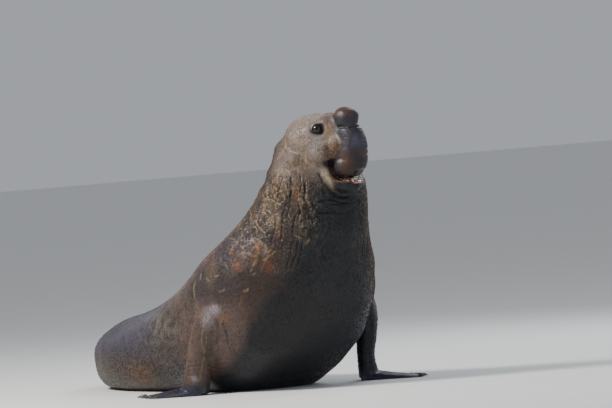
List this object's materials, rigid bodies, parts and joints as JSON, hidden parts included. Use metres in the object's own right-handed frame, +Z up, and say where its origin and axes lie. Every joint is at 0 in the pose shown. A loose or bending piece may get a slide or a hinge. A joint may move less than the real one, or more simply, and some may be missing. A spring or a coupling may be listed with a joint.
{
  "type": "elephant seal bull",
  "caption": "Life-size still model of an elephant seal bull reared up on its fore flippers, with its inflated nose raised and its mouth half open.",
  "frame": {"origin": "on the floor, under the middle of the whole animal's box", "axes": "+X the way the chest faces, +Y the animal's left, +Z up"},
  "size_m": [4.3364, 2.1714, 2.174],
  "materials": {
    "hide": "short damp hair over thick brown hide, with pale scars",
    "face": "short grey-tan hair, damp",
    "nose": "bare dark grey-brown skin, wet sheen",
    "flipper": "short-haired dark brown skin, wet sheen",
    "eye": "wet and almost black",
    "tongue": "wet pink flesh"
  },
  "bodies": {
    "root": {"head": "face", "nose": "nose", "lower_jaw": "face", "tongue": "tongue", "eye_right": "eye", "eye_left": "eye", "neck": "hide", "chest": "hide", "belly": "hide", "hips": "hide", "tail": "hide", "arm_right": "flipper", "hand_right": "flipper", "arm_left": "flipper", "hand_left": "flipper", "hind_flipper_right": "flipper", "hind_flipper_left": "flipper"}
  },
  "joints": []
}
